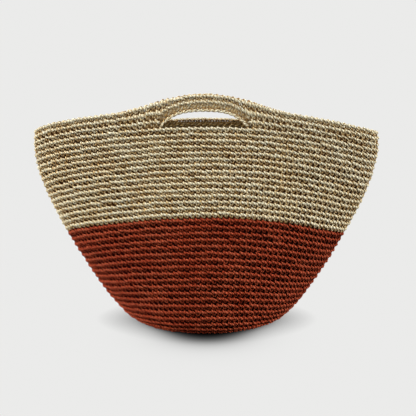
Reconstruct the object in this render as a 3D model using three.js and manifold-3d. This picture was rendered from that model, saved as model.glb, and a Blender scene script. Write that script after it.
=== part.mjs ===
// Crocheted handbag in two yarns, worked in rounds from the middle of the base, with a hand slot
// in its front and in its back. Millimetres, +Z up, the front faces -Y, the base stands on z = 0.
//
// Every solid is a run of crochet rounds cut out of one bag surface. A place on that surface has
// a run s, the length of fabric from the middle of the base, an angle phi round the bag (0 at the
// right-hand end, -90 degrees at the front) and a depth into the fabric.
import * as THREE from "three";
import Module from "manifold-3d";

// Gauge of the crochet
const START_RING = 1.6; // radius of the ring that the first round is worked into
const BASE_ROUND = 8.4; // one round of the flat base, measured along the fabric
const RUST_ROUND = 7.8; // one round of the rust wall
const NATURAL_ROUND = 7.3; // one round of the natural wall
const BASE_ROUNDS = 8;
const RUST_ROUNDS = 20;
const NATURAL_ROUNDS = 15; // below the hand slots
const TOP_ROUNDS = 3; // at the two ends, level with the slots and the handles
const THICKNESS = 6; // of the fabric
const RIDGE = 1; // how far each round's ridge stands out of the grooves beside it
const HANDLE_ROUNDS = 2; // over a slot, where the chain takes the place of one
const SIDE_STRETCH = 1.03; // natural rounds are this much taller at the bag's ends
const BACK_STRETCH = 1.035; // and at the back, where the front's sag is missing

// Shape of the bag
const BASE_TURN = 40; // run of fabric that turns the flat base up into the wall
const END_FLARE = [65, 5, 57, -9]; // lean of the ends from upright, from the base to the rim
const FACE_FLARE = [-4, -3, -28, -11]; // the same for the front and the back
const LEFT_ARCH = 1.25; // how soon the rounds drop from the middle towards the left-hand end
const RIGHT_ARCH = 2.05; // and towards the right-hand end, which hangs lower
const BACK_TIP_IN = 11; // the back's rim tips in by this much more than the front's
const BACK_TIP_DOWN = 8; // and comes down by this much above the slots' level
const BACK_TIP_ENDS = 0.7; // sine of phi below which the tip fades out towards the bag's ends

// Hand slots and handles
const SLOT_LENGTH = 106;
const SLOT_HEIGHT = 19.5; // at the middle of the slot
const SLOT_SHOULDER = 0.7; // how much fuller than a parabola the slot's arch is
const SLOT_OFFSET = -3; // the slots sit this far along X from the bag's middle
const CHAIN_DIAMETER = 6; // of the crochet chain that bridges the slot
const RIM_LIFT = 17; // how far the arch of the slot pushes up the rim above it
const LIFT_REACH = 118; // and how far from the slot's middle it can still be seen

const GAP = 0.3; // left between neighbouring solids
const SEGMENTS = 48; // facets round the bag
const CHAIN_STEPS = 26;
const CHAIN_SIDES = 8;
const STEP = 1; // of the sums along the fabric
const SLOPE_STEP = 0.5; // either side of a place where a slope is measured

const wasm = await Module();
wasm.setup();

const rad = THREE.MathUtils.degToRad;
const FLAT_RADIUS = START_RING + BASE_ROUNDS * BASE_ROUND;
const WALL_RUN = RUST_ROUNDS * RUST_ROUND + (NATURAL_ROUNDS + TOP_ROUNDS) * NATURAL_ROUND;
const COLOUR_CHANGE = FLAT_RADIUS + RUST_ROUNDS * RUST_ROUND;
const SLOT_RUN = COLOUR_CHANGE + NATURAL_ROUNDS * NATURAL_ROUND;
const RIM_RUN = SLOT_RUN + TOP_ROUNDS * NATURAL_ROUND;
const CHAIN_RADIUS = CHAIN_DIAMETER / 2;
const CHAIN_RUN = SLOT_RUN + GAP + CHAIN_RADIUS; // middle of the chain at the slot's two tips
const HALF_SLOT = SLOT_LENGTH / 2;
const PAST_BAG = 2 * WALL_RUN; // a distance that is outside the bag every way

// Lean of the wall in degrees at a share q of its run: a curve through four even control leans.
function lean(flare, q) {
  const t = Math.min(1, Math.max(0, q));
  const u = 1 - t;
  return (
    flare[0] * u ** 3 + 3 * flare[1] * t * u ** 2 + 3 * flare[2] * t ** 2 * u + flare[3] * t ** 3
  );
}

// Radius and height along the wall, summed from its lean. The lean starts flat, at the base.
function wallProfile(flare, stretch) {
  const points = [[FLAT_RADIUS, 0]];
  const end = WALL_RUN + RIM_LIFT + STEP;
  for (let run = STEP / 2; run < end; run += STEP) {
    const turn = THREE.MathUtils.smoothstep(run, 0, BASE_TURN);
    const angle = rad(90 + (lean(flare, run / WALL_RUN) - 90) * turn);
    const length = run > COLOUR_CHANGE - FLAT_RADIUS ? STEP * stretch : STEP;
    const [radius, height] = points.at(-1);
    points.push([radius + Math.sin(angle) * length, height + Math.cos(angle) * length]);
  }
  return (s) => {
    if (s <= FLAT_RADIUS) return [s, 0];
    const at = (s - FLAT_RADIUS) / STEP;
    const i = Math.min(Math.floor(at), points.length - 2);
    const part = at - i;
    return [0, 1].map((k) => points[i][k] * (1 - part) + points[i + 1][k] * part);
  };
}

const endProfile = wallProfile(END_FLARE, SIDE_STRETCH);
const frontProfile = wallProfile(FACE_FLARE, 1);
const backProfile = wallProfile(FACE_FLARE, BACK_STRETCH);

// Point of the bag's outer surface.
function surface(s, phi) {
  const [a, endHeight] = endProfile(s);
  const [b, faceHeight] = Math.sin(phi) > 0 ? backProfile(s) : frontProfile(s);
  const arch = LEFT_ARCH + ((RIGHT_ARCH - LEFT_ARCH) * (1 + Math.cos(phi))) / 2;
  const rise = Math.abs(Math.sin(phi)) ** arch;
  const overSlot = Math.min(1, Math.max(0, s - SLOT_RUN) / (RIM_RUN - SLOT_RUN));
  const tip = overSlot * THREE.MathUtils.smoothstep(Math.sin(phi), 0, BACK_TIP_ENDS);
  return new THREE.Vector3(
    a * Math.cos(phi),
    b * Math.sin(phi) - BACK_TIP_IN * tip,
    endHeight + (faceHeight - endHeight) * rise - BACK_TIP_DOWN * tip,
  );
}

// Point at a depth below the outer surface, square to it.
function fabric(s, phi, depth) {
  const ds = 2;
  const dphi = 0.02;
  const along = surface(s + ds, phi).sub(surface(s - ds, phi));
  const round = surface(s, phi + dphi).sub(surface(s, phi - dphi));
  const out = round.cross(along).normalize();
  return surface(s, phi).addScaledVector(out, -depth);
}

// How far the slot's arch lifts the rim at a distance x along the bag.
function rimLift(x) {
  const q = Math.min(1, Math.abs(x - SLOT_OFFSET) / LIFT_REACH);
  return RIM_LIFT * Math.cos((q * Math.PI) / 2) ** 2;
}

// Height of the slot at a distance x along the bag, and how steeply it changes there.
function slotHeight(x) {
  const u = Math.min(1, Math.abs(x - SLOT_OFFSET) / HALF_SLOT);
  return (SLOT_HEIGHT - CHAIN_RADIUS / 2) * (1 - u * u) * (1 + SLOT_SHOULDER * u * u);
}

function slotSlope(x) {
  return (slotHeight(x + SLOPE_STEP) - slotHeight(x - SLOPE_STEP)) / (2 * SLOPE_STEP);
}

// Closed body from rings of points. Each ring is one section; the rings follow each other round
// the bag and either close on themselves or end in two caps. The last face of a section folds
// the other way, so that it matches the end face of the band below it.
function ringBody(rings, closed) {
  const n = rings[0].length;
  const points = rings.flat();
  const index = [];
  const last = closed ? rings.length : rings.length - 1;
  for (let i = 0; i < last; i += 1) {
    const next = (i + 1) % rings.length;
    for (let j = 0; j < n; j += 1) {
      const k = (j + 1) % n;
      const [p, q, r, t] = [i * n + j, next * n + j, next * n + k, i * n + k];
      if (j < n - 1) index.push(p, q, r, p, r, t);
      else index.push(p, q, t, q, r, t);
    }
  }
  if (!closed) {
    const first = rings[0];
    const x = first[1].clone().sub(first[0]).normalize();
    const normal = rings[1][0].clone().sub(first[0]);
    const y = normal.cross(x).normalize();
    const flat = first.map((p) => new THREE.Vector2(p.dot(x), p.dot(y)));
    const turned = THREE.ShapeUtils.isClockWise(flat);
    const caps = THREE.ShapeUtils.triangulateShape(turned ? flat.reverse() : flat, []);
    const at = (k) => (turned ? n - 1 - k : k);
    const end = (rings.length - 1) * n;
    for (const triangle of caps) {
      const [p, q, r] = (turned ? triangle.reverse() : triangle).map(at);
      index.push(p, q, r, end + p, end + r, end + q);
    }
  }
  return solidOf(points, index);
}

// A manifold solid of points and triangles, turned round if its faces point inwards.
function solidOf(points, index) {
  const make = (triVerts) =>
    new wasm.Manifold(
      new wasm.Mesh({
        numProp: 3,
        vertProperties: new Float32Array(points.flatMap((p) => [p.x, p.y, p.z])),
        triVerts: new Uint32Array(triVerts),
      }),
    );
  const body = make(index);
  if (body.volume() > 0) return body;
  const flipped = [];
  for (let i = 0; i < index.length; i += 3) flipped.push(index[i], index[i + 2], index[i + 1]);
  return make(flipped);
}

// The part of a solid that lies between two planes square to X.
function between(solid, low, high) {
  const corners = [
    [-PAST_BAG, -PAST_BAG],
    [PAST_BAG, -PAST_BAG],
    [PAST_BAG, PAST_BAG],
    [-PAST_BAG, PAST_BAG],
  ];
  const ends = [low, high].map((x) => corners.map(([y, z]) => new THREE.Vector3(x, y, z)));
  return solid.intersect(ringBody(ends, false));
}

function geometryOf(solid) {
  const mesh = solid.getMesh();
  const geometry = new THREE.BufferGeometry();
  const count = mesh.vertProperties.length / mesh.numProp;
  const position = new Float32Array(count * 3);
  for (let i = 0; i < count; i += 1) {
    for (let k = 0; k < 3; k += 1) position[3 * i + k] = mesh.vertProperties[mesh.numProp * i + k];
  }
  geometry.setAttribute("position", new THREE.BufferAttribute(position, 3));
  geometry.setIndex(Array.from(mesh.triVerts));
  return geometry.toNonIndexed();
}

// Section of a run of rounds: out along the ridges and grooves, back along the inside.
// Each entry is a run and a depth; both ends keep half the gap to their neighbour.
function section(start, end, rounds, lowGap = GAP / 2, highGap = GAP / 2) {
  const low = start + lowGap;
  const high = end - highGap;
  const outer = [];
  for (let k = 0; k <= 2 * rounds; k += 1) {
    outer.push([low + ((high - low) * k) / (2 * rounds), k % 2 ? 0 : RIDGE]);
  }
  const steps = Math.max(1, Math.round(rounds / 2));
  const inner = [];
  for (let k = steps; k >= 0; k -= 1) {
    inner.push([low + ((high - low) * k) / steps, THICKNESS]);
  }
  return [...outer, ...inner];
}

// A band of rounds that goes all the way round the bag.
function band(start, end, rounds) {
  const rings = [];
  for (let i = 0; i < SEGMENTS; i += 1) {
    const phi = (i / SEGMENTS) * 2 * Math.PI;
    rings.push(section(start, end, rounds).map(([s, depth]) => fabric(s, phi, depth)));
  }
  return ringBody(rings, true);
}

// The rounds level with the slots, cut off at the slot's tips. side is -1 left, 1 right.
function endBand(side) {
  const rings = [];
  for (let i = 0; i < SEGMENTS; i += 1) {
    const phi = (i / SEGMENTS) * 2 * Math.PI;
    const top = RIM_RUN + rimLift(surface(RIM_RUN, phi).x);
    const points = section(SLOT_RUN, top, TOP_ROUNDS, GAP / 2, 0);
    rings.push(points.map(([s, depth]) => fabric(s, phi, depth)));
  }
  const cut = SLOT_OFFSET + side * (HALF_SLOT + GAP / 2);
  const far = side * PAST_BAG;
  return between(ringBody(rings, true), Math.min(cut, far), Math.max(cut, far));
}

// Angle round the bag at a distance x along its front (side -1) or its back (side 1).
function angleAt(s, x, side) {
  return side * Math.acos(x / endProfile(s)[0]);
}

// Cuts a handle piece to the slot's length, clear of the rounds beside it.
function handleCut(solid) {
  const half = HALF_SLOT - GAP / 2;
  return between(solid, SLOT_OFFSET - half, SLOT_OFFSET + half);
}

// Distances along X at which a handle piece has a section, a little past both of its ends.
function handleStations(steps) {
  const reach = HALF_SLOT + CHAIN_RADIUS;
  return Array.from({ length: steps + 1 }, (_, i) => SLOT_OFFSET + reach * ((2 * i) / steps - 1));
}

// The crochet chain that bridges a slot: a round cord along the slot's arch.
function handleChain(side) {
  const path = handleStations(CHAIN_STEPS).map((x) => {
    const s = CHAIN_RUN + slotHeight(x);
    return fabric(s, angleAt(s, x, side), THICKNESS / 2);
  });
  const outline = [];
  for (let i = 0; i < CHAIN_SIDES; i += 1) {
    const angle = ((i + 0.5) / CHAIN_SIDES) * 2 * Math.PI;
    outline.push([CHAIN_RADIUS * Math.cos(angle), CHAIN_RADIUS * Math.sin(angle)]);
  }
  const rings = sweptRings(outline, path);
  return handleCut(ringBody(rings, false));
}

// Copies of a flat outline along a path, each square to the path.
function sweptRings(outline, path) {
  const up = new THREE.Vector3(0, 1, 0);
  return path.map((p, i) => {
    const before = path[Math.max(0, i - 1)];
    const after = path[Math.min(path.length - 1, i + 1)];
    const along = after.clone().sub(before).normalize();
    const across = up.clone().cross(along).normalize();
    const out = along.clone().cross(across);
    return outline.map(([x, y]) => p.clone().addScaledVector(across, x).addScaledVector(out, y));
  });
}

// The rounds worked over the chain, up to the rim.
function handleRounds(side) {
  const rings = handleStations(CHAIN_STEPS).map((x) => {
    const clear = (CHAIN_RADIUS + GAP) * Math.hypot(1, slotSlope(x));
    const low = CHAIN_RUN + slotHeight(x) + clear;
    const top = RIM_RUN + rimLift(x);
    const points = section(low, top, HANDLE_ROUNDS, 0, 0);
    return points.map(([s, depth]) => fabric(s, angleAt(s, x, side), depth));
  });
  return handleCut(ringBody(rings, false));
}

// A flat disc of base rounds, from one radius to another, solid to its middle if low is 0.
function baseRounds(low, high) {
  const profile = [
    [low, 0],
    [high, 0],
    [high, THICKNESS],
    [low, THICKNESS],
  ];
  if (low > 0) profile.push([low, 0]);
  const points = profile.map(([r, z]) => new THREE.Vector2(r, z));
  const geometry = new THREE.LatheGeometry(points, SEGMENTS);
  geometry.rotateX(Math.PI / 2);
  return geometry;
}

function rustYarn() {
  return new THREE.MeshStandardMaterial({ color: 0x8a3322, roughness: 0.9, metalness: 0 });
}

function naturalYarn() {
  return new THREE.MeshStandardMaterial({ color: 0xa08b6c, roughness: 0.9, metalness: 0 });
}

const bag = new THREE.Group();
bag.name = "crocheted_handbag";

function add(name, geometry, material) {
  const mesh = new THREE.Mesh(geometry, material);
  mesh.name = name;
  bag.add(mesh);
}

// Rounds at which one solid ends and the next begins.
const BASE_MIDDLE_ROUNDS = 3;
const rust = (round) => FLAT_RADIUS + round * RUST_ROUND;
const natural = (round) => COLOUR_CHANGE + round * NATURAL_ROUND;
const middle = START_RING + BASE_MIDDLE_ROUNDS * BASE_ROUND;
const TURN_ROUNDS = 4;
const RUST_SPLIT = 12;
const NATURAL_SPLIT = 8;

add("base_middle_rounds", baseRounds(0, middle - GAP / 2), rustYarn());
add("base_outer_rounds", baseRounds(middle + GAP / 2, FLAT_RADIUS - GAP / 2), rustYarn());
add("base_turn_rounds", geometryOf(band(rust(0), rust(TURN_ROUNDS), TURN_ROUNDS)), rustYarn());
const lowerRust = band(rust(TURN_ROUNDS), rust(RUST_SPLIT), RUST_SPLIT - TURN_ROUNDS);
add("rust_wall_lower", geometryOf(lowerRust), rustYarn());
const upperRust = band(rust(RUST_SPLIT), rust(RUST_ROUNDS), RUST_ROUNDS - RUST_SPLIT);
add("rust_wall_upper", geometryOf(upperRust), rustYarn());
const lowerNatural = band(natural(0), natural(NATURAL_SPLIT), NATURAL_SPLIT);
add("natural_wall_lower", geometryOf(lowerNatural), naturalYarn());
const upperNatural = band(
  natural(NATURAL_SPLIT),
  natural(NATURAL_ROUNDS),
  NATURAL_ROUNDS - NATURAL_SPLIT,
);
add("natural_wall_upper", geometryOf(upperNatural), naturalYarn());
add("left_end_rounds", geometryOf(endBand(-1)), naturalYarn());
add("right_end_rounds", geometryOf(endBand(1)), naturalYarn());
add("front_handle_chain", geometryOf(handleChain(-1)), naturalYarn());
add("front_handle_rounds", geometryOf(handleRounds(-1)), naturalYarn());
add("back_handle_chain", geometryOf(handleChain(1)), naturalYarn());
add("back_handle_rounds", geometryOf(handleRounds(1)), naturalYarn());

export default bag;
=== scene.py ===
import functools
from collections import namedtuple

import bpy
import numpy as np
from bpy.props import FloatProperty, FloatVectorProperty, PointerProperty
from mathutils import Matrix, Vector


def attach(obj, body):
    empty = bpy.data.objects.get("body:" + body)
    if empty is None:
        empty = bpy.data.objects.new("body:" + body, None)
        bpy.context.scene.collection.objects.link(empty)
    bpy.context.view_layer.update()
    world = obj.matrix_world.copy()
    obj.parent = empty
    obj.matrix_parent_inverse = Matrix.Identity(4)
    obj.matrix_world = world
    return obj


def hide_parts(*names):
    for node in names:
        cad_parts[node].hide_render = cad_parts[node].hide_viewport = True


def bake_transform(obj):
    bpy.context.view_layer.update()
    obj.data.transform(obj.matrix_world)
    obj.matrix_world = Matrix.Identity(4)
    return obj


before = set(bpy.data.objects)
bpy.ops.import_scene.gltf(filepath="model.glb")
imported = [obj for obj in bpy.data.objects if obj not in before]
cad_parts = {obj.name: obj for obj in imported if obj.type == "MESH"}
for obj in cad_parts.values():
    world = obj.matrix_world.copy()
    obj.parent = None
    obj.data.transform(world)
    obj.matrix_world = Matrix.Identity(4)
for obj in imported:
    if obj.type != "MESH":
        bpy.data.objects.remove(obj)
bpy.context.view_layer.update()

bl_info = {
    "name": "Crocheted handbag",
    "version": (1, 0, 0),
    "blender": (4, 5, 0),
    "location": "View3D > Sidebar > Handbag",
    "description": "Works a two-yarn crocheted handbag stitch by stitch around its packed solids",
    "category": "Add Mesh",
}

# All shapes are worked out in millimetres and written to the meshes in metres.
MM = 0.001

# Gauge of the crochet, as in the solids
START_RING = 1.6  # radius of the ring that the first round is worked into
BASE_ROUND = 8.4  # one round of the flat base, measured along the fabric
RUST_ROUND = 7.8
NATURAL_ROUND = 7.3
BASE_ROUNDS = 8
RUST_ROUNDS = 20
NATURAL_ROUNDS = 15  # below the hand slots
TOP_ROUNDS = 3  # level with the slots and the handles
SIDE_STRETCH = 1.03  # natural rounds are this much taller at the bag's ends
BACK_STRETCH = 1.035  # and at the back, where the front's sag is missing

# Shape of the bag, as in the solids
BASE_TURN = 40  # run of fabric that turns the flat base up into the wall
END_FLARE = (65, 5, 57, -9)  # lean of the ends from upright, from the base to the rim
FACE_FLARE = (-4, -3, -28, -11)  # the same for the front and the back
LEFT_ARCH = 1.25  # how soon the rounds drop from the middle towards the left-hand end
RIGHT_ARCH = 2.05  # and towards the right-hand end
BACK_TIP_IN = 11  # how far the back's rim tips in
BACK_TIP_DOWN = 8  # and down
BACK_TIP_ENDS = 0.7  # sine of the angle round the bag from which it tips fully
SLOT_LENGTH = 106
SLOT_HEIGHT = 19.5
SLOT_SHOULDER = 0.7  # how much fuller the slot's arch is than a parabola
SLOT_OFFSET = -3  # place of the slots' middle along X
CHAIN_DIAMETER = 6
RIM_LIFT = 17  # how far the arch lifts the rim
LIFT_REACH = 118  # distance from the slots' middle at which the lift ends
GAP = 0.3  # between the chain and the rounds beside it

FLAT_RADIUS = START_RING + BASE_ROUNDS * BASE_ROUND
WALL_RUN = RUST_ROUNDS * RUST_ROUND + (NATURAL_ROUNDS + TOP_ROUNDS) * NATURAL_ROUND
COLOUR_CHANGE = FLAT_RADIUS + RUST_ROUNDS * RUST_ROUND
SLOT_RUN = COLOUR_CHANGE + NATURAL_ROUNDS * NATURAL_ROUND
RIM_RUN = SLOT_RUN + TOP_ROUNDS * NATURAL_ROUND
CHAIN_RADIUS = CHAIN_DIAMETER / 2
CHAIN_RUN = SLOT_RUN + GAP + CHAIN_RADIUS
HALF_SLOT = SLOT_LENGTH / 2

# Steps of the sums, slopes and normals
STEP = 1  # along the fabric
SLOPE_STEP = 0.5
NORMAL_RUN = 2.0
NORMAL_TURN = 0.02  # radians round the bag
ROUND_STEPS = 1440  # in the length of a round
CHAIN_STEPS = 400

# Numbers of the lines between rounds, counted from the start ring
MIDDLE_LINE = 3
BASE_LINE = BASE_ROUNDS
TURN_LINE = BASE_LINE + 4
RUST_SPLIT = BASE_LINE + 12
RUST_LINE = BASE_LINE + RUST_ROUNDS
NATURAL_SPLIT = RUST_LINE + 8
SLOT_LINE = RUST_LINE + NATURAL_ROUNDS
RIM_LINE = SLOT_LINE + TOP_ROUNDS

# Signs of the bag's sides along Y and of its ends along X
FRONT = -1
BACK = 1
LEFT = -1
RIGHT = 1
HANDS = (("left", LEFT), ("right", RIGHT))

# Stitches
BASE_STITCHES = 8  # added with each round of the base
LOW_STITCH = 6.3  # width of a stitch where the wall starts
RIM_STITCH = 7.05  # and at the rim
TUBE_SIDES = 5
TOP_PLUMPNESS = 1.13  # thickness of the looser yarn level with the slots, as a share of the rest
SEED = 20
THICKNESS_CHANGE = 0.06  # how much the yarn's thickness differs from stitch to stitch
PLACE_CHANGE = (0.045, 0.04, 0.16)  # and its place, in the same three measures as a path's

# Waves in the hand-made wall, in millimetres and rounds
WANDER = 0.28  # how far the lines between rounds stray
WANDER_WAVES = (1, 2, 3, 5, 7, 11)  # waves round the bag
WANDER_GROWS = 4  # rounds from the base over which they grow
WANDER_FADES = 3  # and up to the slots over which they fade
PUFF = 0.45  # how far the wall swells
BROAD_PUFFS = (3, 23, 31)  # waves round the bag, and the runs to a radian of their lean and swell
SMALL_PUFFS = (7, 17, 19)
SMALL_SHARE = 0.6  # swell of the small waves, as a share of the broad ones'
PUFF_START = 30  # run from the flat base to where it starts
PUFF_GROWS = 50  # from there to where it is full
PUFF_FADES = 25  # and over which it fades below the slots

# Free edges at the rim and along the slots, whose loops lie flatter and get less painted shade
EDGE_EASE = 8  # length along a slot's edge over which it starts
EDGE_SHARE = 0.93  # share of a round's height above which the loops are pressed
EDGE_PRESS = 0.4  # and by how much
EDGE_SHOWN = 0.5  # depth that their painted shade is worked out for
EDGE_FADE = (0.55, 0.2)  # share of the height at which that lighter painted shade starts, and over how much
EDGE_BACK_FADE = 1.3  # and the depth over which it ends on the inside

# Joins between the handles and the bag
HANDLE_HOLD = 24  # half the length of a handle's middle, which moves as one
HANDLE_EASE = 78  # the same to where the rim stays with the bag
TIP_BLEND = 14  # length over which the rounds beside a slot join the handle's
TIP_STITCH = 1  # gap from a slot's tip to the round beside it
TIP_CORE = 3  # and to that round's core

# Core of the fabric: a sheet under the stitches that stops light, whose outer side is darkened as
# painted shade
CORE_START = 0.25  # line at which it starts, round the start ring
CORE_DROP = 0.15  # share of a round by which its edges lie below the rounds' lines
CORE_THICKNESS = 0.5
CORE_COLUMNS = 240  # round the whole bag
CORE_LINE_STEP = 0.5
CORE_TURN = 10  # height over which its yarn map goes once round
CORE_RISE_START = HANDLE_EASE + 10  # distance from the slots' middle at which it starts to rise
CORE_RISE = 60  # towards the surface, and the length over which it does
RIM_CORE = RIM_LINE - 0.5  # line at which it ends under the rim
BACK_RIM_CORE = RIM_LINE - 1  # and over the back slot, where light shows between the stitches
INSIDE_SHOWN = 5.3  # depth that the painted shade of its inner side is worked out for
END_SHOWN = 3.0  # the same for both sides at the top of the bag's ends
SLOT_SHOWN = 1.5  # and over the slots

# Finishes
RUST, NATURAL = range(2)
SHADED_CORE = 2  # added to a yarn's number for its core finish, darkened as painted shade
YARN_MAP_SCALE = 0.01  # of the length along the yarn
CELL_MARGIN = 0.04  # round each face in the bake map
MIDDLE_DEPTH = 4.0  # millimetres under the surface at which painted shade is darkest
OUTER_REACH = 2.6  # and how far outwards from there the painted shade fades to none
INNER_REACH = 1.5  # and how far inwards
RUST_GAP_SHADE = 3.3  # how soon painted shade darkens the yarn towards the gaps between stitches, as a power
NATURAL_GAP_SHADE = 1.9
CORE_GAP_SHADE = 1.0
NATURAL_SHEEN = 0.02
PLY_FULLNESS = 0.6  # power that makes the plies' crowns wider than their grooves
FIBRES = 7.0  # in one ply
FIBRE_BEND = 16.0  # radians that noise bends them by
NOISES = {  # scale, detail and roughness
    "bend": (900.0, 3.0, 0.5),
    "grain": (2600.0, 2.0, 0.7),
    "blotch": (150.0, 3.0, 0.6),
    "broad": (28.0, 2.0, 0.5),
    "speck": (480.0, 2.0, 0.5),
}
# the plies' share lightens their crowns, a painted highlight; the other shares are the yarn's own
# tone
TONE = {"grain": 0.2, "fibres": 0.22, "bend": 0.55, "blotch": 0.52, "broad": 0.3, "plies": 0.16}
TONE_DROP = 0.43  # taken off their sum, to bring it to the middle of the yarn's colours
SHADE_PLACES = (0.22, 0.5, 0.82)  # tones of the dark, the middle and the light colour
RELIEF = {"plies": 1.0, "fibres": 0.18, "grain": 0.25}
GROOVE_SHADE = 0.4  # how light the painted shade leaves the grooves between the plies, as a share
# tint of a painted warm shade deep in the stitches, and of random warm specks
WARM_TINT = (1.0, 0.73, 0.39, 1)
CROWN = (-0.5, 1.2)  # slope and start of the share by which a depth belongs to a stitch's crown
DEEP_SHADE_WARMTH = 0.95  # share of the tint deep in the stitches, a painted warm shade
CROWN_WARMTH = -1.15  # what a crown adds to it, so the painted warm shade stays off the lit crowns
SPECK_WARMTH = 3.5  # and what noise adds

# Stage
FLOOR_REACH = 8.0  # metres from the bag to the floor's edges
PHOTO_PIXELS = 416
SHIFT_RIGHT = 1.6  # pixels by which the view is shifted
SHIFT_DOWN = 4.4
CONTACT_POWER = 0.4  # how softly the painted contact shade darkens the floor towards the bag
STUDIO_WHITE = (1.0, 1.0, 0.99, 1)
LAMPS = {  # places in metres, from which they shine towards the foot of the bag
    "left": (-1.8, 0, 0.55),
    "right": (1.8, 0, 0.55),
    "top": (0, -0.35, 1.6),
}

# One single crochet worked in the back loop: where the yarn's centre passes, and how thick it is.
# Columns: stitches along the round, share of the round's height, millimetres under the surface,
# radius as a share of the yarn's.
STITCH_PATH = np.array(
    [
        (0.02, 0.75, 2.3, 1.04),  # front loop, tucked under the last stitch
        (0.28, 0.80, 1.6, 1.1),
        (0.58, 0.86, 1.6, 1.12),
        (0.86, 0.95, 2.1, 1.02),
        (0.99, 1.12, 2.6, 0.92),  # over the top, where it shows between the next round's legs
        (1.01, 1.25, 3.5, 0.88),
        (0.91, 1.17, 4.6, 0.88),
        (0.64, 0.97, 4.9, 0.9),  # back loop
        (0.30, 0.78, 4.6, 0.9),
        (0.23, 0.60, 2.8, 0.84),  # left leg, down the front
        (0.37, 0.37, 2.6, 0.84),
        (0.46, 0.06, 4.5, 0.8),  # through the round below
        (0.56, 0.06, 4.5, 0.8),
        (0.65, 0.38, 2.6, 0.84),  # right leg, up again
        (0.78, 0.58, 2.6, 0.86),
    ]
)

# One link of the chain along a slot's upper edge, written in the same way
CHAIN_PATH = np.array(
    [
        (0.05, 0.30, 2.6, 0.95),
        (0.35, 0.26, 1.6, 1.0),
        (0.75, 0.34, 1.5, 1.0),
        (1.12, 0.55, 2.2, 0.95),
        (1.20, 0.62, 4.0, 0.9),
        (0.85, 0.45, 4.6, 0.95),
        (0.45, 0.40, 4.6, 0.95),
        (0.12, 0.55, 3.9, 0.9),
        (0.35, 0.78, 2.9, 0.9),
        (0.80, 0.62, 3.2, 0.9),
    ]
)

# A stretch of yarn: rings of points, the depth that each point's painted shade is worked out for,
# and the length up to each ring and up to the end.
Yarn = namedtuple("Yarn", "rings depth along")

# A part of a mesh: points, the depth that each point's painted shade is worked out for, faces as
# rows of four corners (the last is -1 on a triangle), the yarn map at each corner, and the finish's
# number.
Part = namedtuple("Part", "points depth faces marks finish")

# A handle: front or back in words and as a sign, the line at which its core ends, and its chain.
Handle = namedtuple("Handle", "word side core_top chain")


def smooth(x):
    """0 below 0, 1 above 1, and an S-curve between: 3 x squared less 2 x cubed."""
    x = np.clip(x, 0, 1)
    return x * x * (3 - 2 * x)


def summed(steps):
    """Sums of the steps so far, from 0."""
    return np.concatenate([[0], np.cumsum(steps)])


# Surface of the bag


def lean(flare, share):
    """Lean in degrees at a share of the wall: a cubic Bezier curve of the four leans of a flare."""
    t = np.clip(share, 0, 1)
    u = 1 - t
    return flare[0] * u**3 + 3 * flare[1] * t * u**2 + 3 * flare[2] * t**2 * u + flare[3] * t**3


def wall_profile(flare, stretch):
    """A function of the run that gives the wall's radius and height.

    They are sums of the sine and the cosine of its lean, step by step. The lean goes from flat to
    the flare's own by an S-curve over the base's turn. On the flat base the radius is the run.
    """
    step_run = np.arange(STEP / 2, WALL_RUN + RIM_LIFT + STEP, STEP)
    turn = smooth(step_run / BASE_TURN)
    angle = np.radians(90 + (lean(flare, step_run / WALL_RUN) - 90) * turn)
    length = np.where(step_run > COLOUR_CHANGE - FLAT_RADIUS, STEP * stretch, STEP)
    radii = FLAT_RADIUS + summed(np.sin(angle) * length)
    heights = summed(np.cos(angle) * length)
    runs = FLAT_RADIUS + STEP * np.arange(len(radii))

    def place(run):
        radius = np.where(run <= FLAT_RADIUS, run, np.interp(run, runs, radii))
        return radius, np.interp(run, runs, heights)

    return place


END_PROFILE = wall_profile(END_FLARE, SIDE_STRETCH)
FRONT_PROFILE = wall_profile(FACE_FLARE, 1)
BACK_PROFILE = wall_profile(FACE_FLARE, BACK_STRETCH)


def surface(run, phi):
    """Outer surface at a run from the middle of the base and an angle phi round the bag.

    An ellipse with the ends' radius along X and the faces' radius along Y. Its height goes from
    the ends' to the faces' by a power of the sine of phi, and the back's rim tips in.
    """
    end_radius, end_height = END_PROFILE(run)
    at_back = np.sin(phi) > 0
    face_radius, face_height = (
        np.where(at_back, back, front)
        for back, front in zip(BACK_PROFILE(run), FRONT_PROFILE(run))
    )
    arch = LEFT_ARCH + (RIGHT_ARCH - LEFT_ARCH) * (1 + np.cos(phi)) / 2
    rise = np.abs(np.sin(phi)) ** arch
    over_slot = np.clip((run - SLOT_RUN) / (RIM_RUN - SLOT_RUN), 0, 1)
    tip = over_slot * smooth(np.sin(phi) / BACK_TIP_ENDS)
    x = end_radius * np.cos(phi)
    y = face_radius * np.sin(phi) - BACK_TIP_IN * tip
    z = end_height + (face_height - end_height) * rise - BACK_TIP_DOWN * tip
    return np.stack([x, y, z], -1)


def fabric(run, phi, depth):
    """Point at a depth under the outer surface, along the surface's own normal.

    The normal is the cross product of a small step round the bag and one up the fabric.
    """
    upwards = surface(run + NORMAL_RUN, phi) - surface(run - NORMAL_RUN, phi)
    round_bag = surface(run, phi + NORMAL_TURN) - surface(run, phi - NORMAL_TURN)
    out = np.cross(round_bag, upwards)
    out /= np.linalg.norm(out, axis=-1, keepdims=True)
    return surface(run, phi) - np.asarray(depth)[..., None] * out


def angle_at(x, run, side):
    """Angle round the bag at a place x along its front or back: the arc cosine of x over radius."""
    return side * np.arccos(x / END_PROFILE(run)[0])


def rim_x(phi):
    """Place along X of the rim at an angle round the bag."""
    return surface(np.full_like(phi, RIM_RUN), phi)[..., 0]


def from_slot(x):
    """Distance of x from the slots' middle."""
    return np.abs(x - SLOT_OFFSET)


def rim_lift(x):
    """How far a slot's arch lifts the rim at a place x along the bag: a squared cosine."""
    share = np.minimum(1, from_slot(x) / LIFT_REACH)
    return RIM_LIFT * np.cos(share * np.pi / 2) ** 2


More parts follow.
